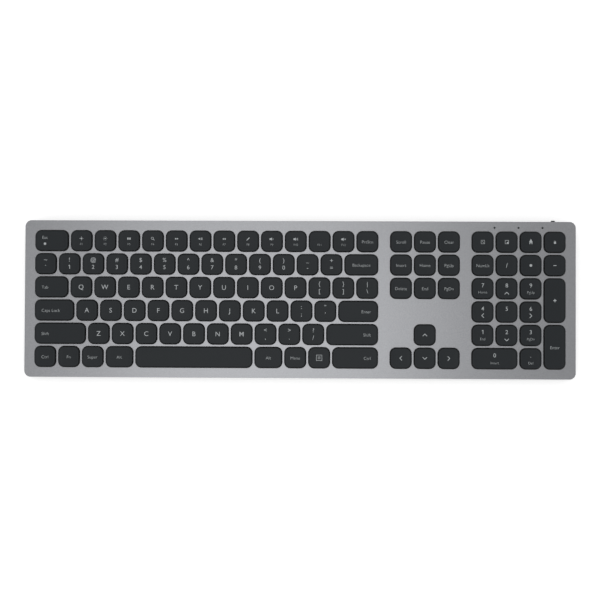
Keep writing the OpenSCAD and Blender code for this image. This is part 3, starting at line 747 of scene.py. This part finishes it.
def make_keys(context, layout):
    """Models the caps of each node in a layout, prints their marks, and puts them on their bodies."""
    sizes, colours = context.scene.keyboard_sizes, context.scene.keyboard_colours
    made = bpy.data.materials
    finish = made.get("matt moulded ABS keycap") or keycap_plastic(colours.cap_top, colours.cap_side)
    ink = made.get("pad-printed grey ink") or printed_ink(colours.ink)
    clip, blanks = clip_blank(), {}
    clip.data.materials.append(finish)
    for node, rows in layout.items():
        caps, layers = [], {}
        for middle, width, depth, marks in cells(node, rows):
            size = (round(width / MM, 2), round(depth / MM, 2))
            if size not in blanks:
                blanks[size] = cap_blank(sizes, width, depth, finish)
            caps.append(copied(blanks[size], middle))
            for mark in marks:
                for level, stroke in enumerate(draw_mark(sizes, mark, middle, width, ink)):
                    layers.setdefault(level, []).append(stroke)
            if node + "_wire" in frame["nodes"]:
                caps += [copied(clip, spot) for spot in clip_spots(node, middle, width, depth)]
                if depth > width:
                    for each in caps[1:]:
                        each.rotation_euler.z = math.pi / 2
        piece = joined(caps)
        bpy.ops.object.transform_apply(location=True, rotation=True, scale=True)
        # Strokes that cross each other differ a little in height, so that no two faces share a plane.
        prints = [
            laid_on(piece, strokes, sizes.ink_height * (1 + level / 5)) for level, strokes in layers.items()
        ]
        settle(joined([piece, *prints]), node + "_caps", node, [node], DECK)
    discard([clip, *blanks.values()])


def clip_spots(node, middle, width, depth):
    """Where a long cap's clips hold the bar of its wire."""
    low, high = deck_box(node + "_wire")
    reach = max(width, depth) / 2 - CLIP_INSET
    height = high.z - WIRE_RADIUS
    if depth > width:
        return [Vector((low.x + WIRE_RADIUS, middle.y + way * reach, height)) for way in (-1, 1)]
    return [Vector((middle.x + way * reach, high.y - WIRE_RADIUS, height)) for way in (-1, 1)]


def laid_on(piece, strokes, ink_height):
    """Joins flat strokes, lays them on the caps below them, and gives them the ink's thickness."""
    select_only(*strokes)
    bpy.ops.object.convert(target="MESH")
    flat = joined(list(bpy.context.selected_objects))
    lay = flat.modifiers.new("Lay", "SHRINKWRAP")
    lay.target = piece
    lay.wrap_method = "PROJECT"
    lay.use_project_z = True
    lay.use_negative_direction = True
    lay.use_positive_direction = False
    bpy.ops.object.modifier_apply(modifier=lay.name)
    ink = flat.modifiers.new("Ink", "SOLIDIFY")
    # At this offset three quarters of the thickness stand above the cap, and the rest lies in it.
    ink.thickness = ink_height * 4 / 3
    ink.offset = 0.5
    bpy.ops.object.modifier_apply(modifier=ink.name)
    return flat


class KEYBOARD_OT_main_keys(Operator):
    """Models the keys of the main block"""

    bl_idname = "keyboard.main_keys"
    bl_label = "Main keys"

    def execute(self, context):
        make_keys(context, MAIN_KEYS)
        return {"FINISHED"}


class KEYBOARD_OT_middle_keys(Operator):
    """Models the keys of the middle block and the arrow keys"""

    bl_idname = "keyboard.middle_keys"
    bl_label = "Middle keys"

    def execute(self, context):
        make_keys(context, MIDDLE_KEYS)
        return {"FINISHED"}


class KEYBOARD_OT_pad_keys(Operator):
    """Models the keys of the number pad"""

    bl_idname = "keyboard.pad_keys"
    bl_label = "Number pad keys"

    def execute(self, context):
        make_keys(context, PAD_KEYS)
        return {"FINISHED"}


# Domes

def dome_blank(foot, top, finish):
    """One rubber dome in the deck's frame: a collar in the sheet, a leaning wall and a flat top, hollow below."""
    height = top - foot
    bpy.ops.mesh.primitive_cylinder_add(
        vertices=16, radius=DOME_RADIUS, depth=DOME_COLLAR, location=(0, 0, foot + DOME_COLLAR / 2))
    bpy.ops.object.transform_apply(location=True, rotation=True, scale=True)
    bpy.ops.object.mode_set(mode="EDIT")
    pick("FACE", at_height(foot + DOME_COLLAR))
    draw_out(height - DOME_COLLAR, DOME_TOP_RADIUS / DOME_RADIUS)
    pick("FACE", at_height(foot))
    bpy.ops.mesh.inset(thickness=DOME_WALL)
    draw_out(height - DOME_WALL, (DOME_TOP_RADIUS - DOME_WALL) / (DOME_RADIUS - DOME_WALL))
    bpy.ops.object.mode_set(mode="OBJECT")
    soften(at_height(top), DOME_EDGE, 1)
    bpy.ops.object.shade_smooth_by_angle(angle=SMOOTH_ANGLE)
    bpy.context.object.data.materials.append(finish)
    return bpy.context.object


def draw_out(rise, share):
    """Extrudes the selected face upwards, and narrows it to a share of its width."""
    bpy.ops.mesh.extrude_region_move(TRANSFORM_OT_translate={"value": (0, 0, rise)})
    bpy.ops.transform.resize(value=(share, share, 1), center_override=(0, 0, 0))


class KEYBOARD_OT_domes(Operator):
    """Models the rubber domes and the web that joins them"""

    bl_idname = "keyboard.domes"
    bl_label = "Domes"

    def execute(self, context):
        rubber = silicone()
        foot, top = (corner.z for corner in deck_box("dome_sheet"))
        blank = dome_blank(foot, top, rubber)
        for node, rows in ALL_KEYS.items():
            piece = joined([copied(blank, middle) for middle, *_ in cells(node, rows)])
            settle(piece, node + "_domes", "case", ["dome_sheet"], DECK)
            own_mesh(piece)
        discard([blank])
        # The web is a copy of the CAD sheet whose domes are taken off, with a sloping wall round each hole.
        web = bpy.data.objects.new("web", frame["nodes"]["dome_sheet"].data.copy())
        context.collection.objects.link(web)
        select_only(web)
        web.matrix_world = DECK.inverted()
        bpy.ops.object.transform_apply(location=True, rotation=True, scale=True)
        bpy.ops.object.mode_set(mode="EDIT")
        bpy.ops.mesh.select_all(action="SELECT")
        bpy.ops.mesh.remove_doubles(threshold=0.001 * MM)
        web_top = foot + DOME_COLLAR + 0.01 * MM
        pick("FACE", lambda face: any(vertex.co.z > web_top for vertex in face.verts))
        bpy.ops.mesh.delete(type="FACE")
        pick("EDGE", lambda edge: edge.is_boundary)
        bpy.ops.mesh.bridge_edge_loops(type="PAIRS")
        bpy.ops.object.mode_set(mode="OBJECT")
        web.data.materials.clear()
        web.data.materials.append(rubber)
        settle(web, "dome_web", "case", ["dome_sheet"], DECK)
        return {"FINISHED"}


# Case

class KEYBOARD_OT_plate(Operator):
    """Models the aluminium plate with an opening for each key and three indicator holes"""

    bl_idname = "keyboard.plate"
    bl_label = "Plate"

    def execute(self, context):
        sizes, colours = context.scene.keyboard_sizes, context.scene.keyboard_colours
        plate = block(
            (-PLATE_WIDTH / 2, -PLATE_DEPTH / 2, -PLATE_THICKNESS), (PLATE_WIDTH / 2, PLATE_DEPTH / 2, 0))
        soften(upright, PLATE_RADIUS, 12)
        blanks, openings = {}, []
        for node, rows in ALL_KEYS.items():
            for middle, width, depth, _ in cells(node, rows):
                size = (round(width / MM, 2), round(depth / MM, 2))
                if size not in blanks:
                    corner = Vector((width / 2 + KEY_GAP, depth / 2 + KEY_GAP, 2 * PLATE_THICKNESS))
                    blanks[size] = block(-corner, corner)
                    soften(upright, CAP_RADIUS + KEY_GAP, 8)
                openings.append(copied(blanks[size], middle))
        low, high = deck_box("indicator_light_pipes")
        bar_half = (high.y - low.y) / 2
        for x in (low.x + bar_half, (low.x + high.x) / 2, high.x - bar_half):
            bpy.ops.mesh.primitive_cylinder_add(
                vertices=32, radius=WINDOW_RADIUS, depth=4 * PLATE_THICKNESS,
                location=(x, (low.y + high.y) / 2, 0))
            openings.append(bpy.context.object)
        discard(list(blanks.values()))
        cut(plate, joined(openings))
        soften(sharp, sizes.plate_edge, 2)
        # The two facets of the broken edges turn by more than this, so that the flat faces stay flat.
        bpy.ops.object.shade_smooth_by_angle(angle=math.radians(20))
        plate.data.materials.append(anodised_aluminium(colours.plate))
        settle(plate, "plate_with_openings", "case", ["top_plate"], DECK)
        return {"FINISHED"}


class KEYBOARD_OT_feet(Operator):
    """Models the long rubber feet, with soft edges and grip ridges"""

    bl_idname = "keyboard.feet"
    bl_label = "Feet"

    def execute(self, context):
        low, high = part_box("rubber_feet")
        long, wide, tall = 44 * MM, 6 * MM, high.z - low.z
        ridge, ridge_half, ridge_pitch, ridge_inset = 0.4 * MM, 1.5 * MM, 4.3 * MM, 0.4 * MM
        foot = block((-long / 2, -wide / 2, ridge / 2), (long / 2, wide / 2, tall))
        soften(upright, wide / 2 - 0.01 * MM, 10)
        soften(at_height(ridge / 2), 0.3 * MM, 3)
        ridges = []
        for k in range(-4, 5):
            ridges.append(block(
                (k * ridge_pitch - ridge_half, ridge_inset - wide / 2, 0),
                (k * ridge_pitch + ridge_half, wide / 2 - ridge_inset, ridge)))
            soften(upright, 0.8 * MM, 4)
            soften(at_height(0), 0.15 * MM, 2)
        foot = joined([foot, *ridges])
        bpy.ops.object.shade_smooth_by_angle(angle=SMOOTH_ANGLE)
        foot.data.materials.append(foot_rubber(context.scene.keyboard_colours.rubber))
        spots = [
            Vector((x, y, low.z))
            for x in (low.x + long / 2, high.x - long / 2) for y in (low.y + wide / 2, high.y - wide / 2)
        ]
        feet = [copied(foot, spot) for spot in spots]
        discard([foot])
        settle(joined(feet), "ridged_feet", "case", ["rubber_feet"])
        return {"FINISHED"}


class KEYBOARD_OT_switch_knob(Operator):
    """Models the power switch's knob, with grip ridges on its end"""

    bl_idname = "keyboard.switch_knob"
    bl_label = "Switch knob"

    def execute(self, context):
        low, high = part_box("power_switch_knob")
        middle = (low + high) / 2
        stem_half = 0.8 * MM
        shoulder = low.y + 2 * MM
        knob = block((low.x, shoulder, low.z), high)
        soften(lambda edge: all(vertex.co.y > high.y - 0.01 * MM for vertex in edge.verts), 0.35 * MM, 3)
        groove_half, groove_depth, past = 0.16 * MM, 0.25 * MM, 1 * MM
        spacing = (high.x - low.x) / 4.2
        grooves = [
            block((x - groove_half, high.y - groove_depth, low.z - past),
                  (x + groove_half, high.y + past, high.z + past))
            for x in (middle.x - spacing, middle.x, middle.x + spacing)
        ]
        cut(knob, joined(grooves))
        stem = block(
            (middle.x - stem_half, low.y, middle.z - stem_half),
            (middle.x + stem_half, shoulder + 0.5 * MM, middle.z + stem_half))
        soften(sharp, 0.1 * MM, 1)
        piece = joined([knob, stem])
        bpy.ops.object.shade_smooth_by_angle(angle=SMOOTH_ANGLE)
        piece.data.materials.append(moulded_plastic("moulded knob plastic", linear("#141516"), 0.5, 0.5, 0.02))
        settle(piece, "ridged_switch_knob", "power_switch_knob", ["power_switch_knob"])
        return {"FINISHED"}


class KEYBOARD_OT_charge_socket(Operator):
    """Models the charge socket: a plated shell with a contact tongue in it"""

    bl_idname = "keyboard.charge_socket"
    bl_label = "Charge socket"

    def execute(self, context):
        low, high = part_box("charge_port")
        middle, radius = (low + high) / 2, (high.z - low.z) / 2
        wall, back_wall = 0.3 * MM, 2 * MM
        tongue_half, tongue_thick_half = 3.35 * MM, 0.35 * MM
        contact_half, contact_pitch = 0.12 * MM, 0.5 * MM
        shell = block(low, high)
        soften(lengthways, radius - 0.01 * MM, 10)
        bpy.ops.object.mode_set(mode="EDIT")
        pick("FACE", lambda face: face.normal.y > 0.99)
        bpy.ops.mesh.inset(thickness=wall)
        bpy.ops.mesh.extrude_region_move(TRANSFORM_OT_translate={"value": (0, back_wall - (high.y - low.y), 0)})
        bpy.ops.object.mode_set(mode="OBJECT")
        shell.data.materials.append(steel("nickel-plated socket steel", linear("#c4c7c9"), 0.6, 0.3))
        tongue = block(
            (middle.x - tongue_half, low.y + 1.5 * MM, middle.z - tongue_thick_half),
            (middle.x + tongue_half, high.y - 0.8 * MM, middle.z + tongue_thick_half))
        soften(sharp, 0.12 * MM, 2)
        tongue.data.materials.append(
            moulded_plastic("moulded tongue plastic", linear("#202224"), 0.4, 0.45, 0.01))
        contact = block(
            (-contact_half, high.y - 4 * MM, middle.z + tongue_thick_half - 0.05 * MM),
            (contact_half, high.y - 1.2 * MM, middle.z + tongue_thick_half + 0.02 * MM))
        soften(sharp, 0.02 * MM, 1)
        contact.data.materials.append(steel("gilded contact", linear("#d8b65c"), 0.5, 0.25))
        contacts = [copied(contact, Vector((middle.x + k * contact_pitch, 0, 0))) for k in range(-5, 6)]
        discard([contact])
        piece = joined([shell, tongue, *contacts])
        bpy.ops.object.shade_smooth_by_angle(angle=SMOOTH_ANGLE)
        settle(piece, "charge_socket", "case", ["charge_port"])
        return {"FINISHED"}


class KEYBOARD_OT_finishes(Operator):
    """Gives the CAD pieces that stay, inside and outside the case, the finishes of their materials"""

    bl_idname = "keyboard.finishes"
    bl_label = "Finishes"

    def execute(self, context):
        lead_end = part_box("battery_pack")[1].x - 1 * MM
        points = [vertex.co for vertex in frame["nodes"]["battery_pack"].data.vertices]
        rows = [point.y for point in points if point.x > lead_end]
        leads = Vector((LEAD_START, (min(rows) + max(rows)) / 2, 0))
        finishes = {
            # The cover's grain is about 0.2 mm; it is drawn at 0.7 mm so that it shows.
            "cover_plastic": moulded_plastic(
                "textured cover plastic", context.scene.keyboard_colours.cover, 0.7, 0.6, 0.04),
            "guide_plastic": moulded_plastic("moulded guide plastic", linear("#3f4142"), 0.8, 0.5, 0.02),
            "circuit_film": circuit_film(),
            "steel_sheet": galvanised_sheet(),
            "circuit_board": circuit_board(),
            "component_plastic": moulded_plastic("moulded chip plastic", linear("#26282a"), 0.5, 0.55, 0.01),
            "socket_steel": steel("nickel-plated switch steel", linear("#c4c7c9"), 0.6, 0.3),
            "battery_foil": battery_foil(leads),
            "clear_plastic": smoked_plastic(),
            "screw_steel": steel("zinc-plated screw steel", linear("#9a9c9e"), 0.8, 0.35),
            "spring_wire": steel("drawn spring wire", linear("#a8abad"), 0.3, 0.3),
        }
        for node in frame["nodes"].values():
            for slot in node.material_slots:
                finish = finishes.get(slot.material.name.split(".")[0])
                if finish:
                    slot.material = finish
                elif not node.hide_render:
                    raise RuntimeError(f"no finish for {node.name}")
        return {"FINISHED"}


# Studio

SOFTBOX_PLACE = (-0.09, -0.16, 1.3)
SOFTBOX_SIZE = 0.6
SOFTBOX_POWER = 1.61
# Strength of the surroundings: as fill light, and overhead in reflections, where white is 1
FILL_STRENGTH = 0.75
CEILING_STRENGTH = 0.62
FLOOR_GLOW = 0.45
# The camera's place from the middle of the plate, and its turn in degrees
CAMERA_PLACE = Vector((17.49, -89.28, 1000.75)) * MM
CAMERA_TURN = (5.081, 0.9396, 0.3348)
CAMERA_LENS = 75.72
SENSOR_WIDTH = 36


class KEYBOARD_OT_stage(Operator):
    """Sets up the floor, the light and the camera"""

    bl_idname = "keyboard.stage"
    bl_label = "Stage"

    def execute(self, context):
        scene = context.scene
        bpy.ops.mesh.primitive_plane_add(size=6)
        floor = bpy.context.object
        floor.name = "floor"
        floor.data.materials.append(self.floor_paper())
        bpy.ops.object.light_add(type="AREA", location=SOFTBOX_PLACE)
        softbox = bpy.context.object
        softbox.name = "softbox"
        softbox.data.shape = "SQUARE"
        softbox.data.size = SOFTBOX_SIZE
        softbox.data.energy = SOFTBOX_POWER
        world = scene.world or bpy.data.worlds.new("studio")
        scene.world = world
        world.use_nodes = True
        tree = world.node_tree
        # The walls are white, and the ceiling above the softbox is darker, so that metal shows its own grey.
        coordinates = add_node(tree, "ShaderNodeTexCoord")
        direction = add_node(tree, "ShaderNodeSeparateXYZ", {0: coordinates.outputs["Generated"]})
        walls = add_node(
            tree, "ShaderNodeMapRange",
            {"Value": direction.outputs["Z"], "From Min": 0.3, "From Max": 0.9,
             "To Min": 1, "To Max": CEILING_STRENGTH},
            interpolation_type="SMOOTHSTEP")
        rays = add_node(tree, "ShaderNodeLightPath").outputs
        lit = add_node(
            tree, "ShaderNodeMapRange",
            {"Value": rays["Is Glossy Ray"], "To Min": FILL_STRENGTH, "To Max": walls.outputs[0]})
        strength = add_node(
            tree, "ShaderNodeMapRange",
            {"Value": self.seen_as_background(tree, "Is Transmission Ray"), "To Min": lit.outputs[0], "To Max": 1})
        feed(tree, tree.nodes["Background"], {"Color": (1, 1, 1, 1), "Strength": strength.outputs[0]})
        bpy.ops.object.camera_add(
            location=DECK.translation + CAMERA_PLACE,
            rotation=[math.radians(turn) for turn in CAMERA_TURN])
        camera = bpy.context.object
        camera.name = "camera"
        camera.data.sensor_width = SENSOR_WIDTH
        camera.data.lens = CAMERA_LENS
        scene.camera = camera
        scene.view_settings.view_transform = "Standard"
        return {"FINISHED"}

    @staticmethod
    def seen_as_background(tree, *others):
        """1 for the rays that show the white background: those from the camera, and others that are named."""
        path = add_node(tree, "ShaderNodeLightPath")
        shown = path.outputs["Is Camera Ray"]
        for ray in others:
            either = add_node(tree, "ShaderNodeMath", {0: shown, 1: path.outputs[ray]}, operation="MAXIMUM")
            shown = either.outputs[0]
        return shown

    def floor_paper(self):
        """Seamless paper: matt white with a faint tooth, lit up to the background's white apart from the shadow."""
        material, tree, shader, place = begin("white seamless paper")
        tooth = noise(tree, place, 3 * MM, 2)
        mixed = blend(tree, tooth, linear("#f0f0f0"), linear("#f4f4f4"))
        shown = self.seen_as_background(tree, "Is Glossy Ray", "Is Transmission Ray")
        glow = add_node(tree, "ShaderNodeMath", {0: shown, 1: FLOOR_GLOW}, operation="MULTIPLY")
        feed(tree, shader, {
            "Base Color": mixed, "Roughness": 0.9, "Specular IOR Level": 0.1,
            "Emission Color": (1, 1, 1, 1), "Emission Strength": glow.outputs[0]})
        return material


class KEYBOARD_PT_dresser(Panel):
    """Lists the steps in their order, with the settings that they read"""

    bl_idname = "KEYBOARD_PT_dresser"
    bl_label = "Keyboard Dresser"
    bl_space_type = "VIEW_3D"
    bl_region_type = "UI"
    bl_category = "Keyboard"

    def draw(self, context):
        for group in (context.scene.keyboard_sizes, context.scene.keyboard_colours):
            for name in group.__annotations__:
                self.layout.prop(group, name)
        for step in STEPS:
            self.layout.operator(step.bl_idname)


STEPS = (
    KEYBOARD_OT_plate,
    KEYBOARD_OT_main_keys,
    KEYBOARD_OT_middle_keys,
    KEYBOARD_OT_pad_keys,
    KEYBOARD_OT_domes,
    KEYBOARD_OT_feet,
    KEYBOARD_OT_switch_knob,
    KEYBOARD_OT_charge_socket,
    KEYBOARD_OT_finishes,
    KEYBOARD_OT_stage,
)
CLASSES = (KeyboardSizes, KeyboardColours, *STEPS, KEYBOARD_PT_dresser)


def register():
    for each in CLASSES:
        bpy.utils.register_class(each)
    bpy.types.Scene.keyboard_sizes = PointerProperty(type=KeyboardSizes)
    bpy.types.Scene.keyboard_colours = PointerProperty(type=KeyboardColours)


def unregister():
    del bpy.types.Scene.keyboard_colours
    del bpy.types.Scene.keyboard_sizes
    for each in reversed(CLASSES):
        bpy.utils.unregister_class(each)


def main():
    # The start-up scene may hold objects of its own, which are no part of the keyboard.
    for each in set(bpy.data.objects) - set(frame["nodes"].values()) - set(frame["bodies"].values()):
        bpy.data.objects.remove(each)
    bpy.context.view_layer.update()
    register()
    bpy.ops.keyboard.plate()
    bpy.ops.keyboard.main_keys()
    bpy.ops.keyboard.middle_keys()
    bpy.ops.keyboard.pad_keys()
    bpy.ops.keyboard.domes()
    bpy.ops.keyboard.feet()
    bpy.ops.keyboard.switch_knob()
    bpy.ops.keyboard.charge_socket()
    bpy.ops.keyboard.finishes()
    bpy.ops.keyboard.stage()


if __name__ == "__main__":
    main()
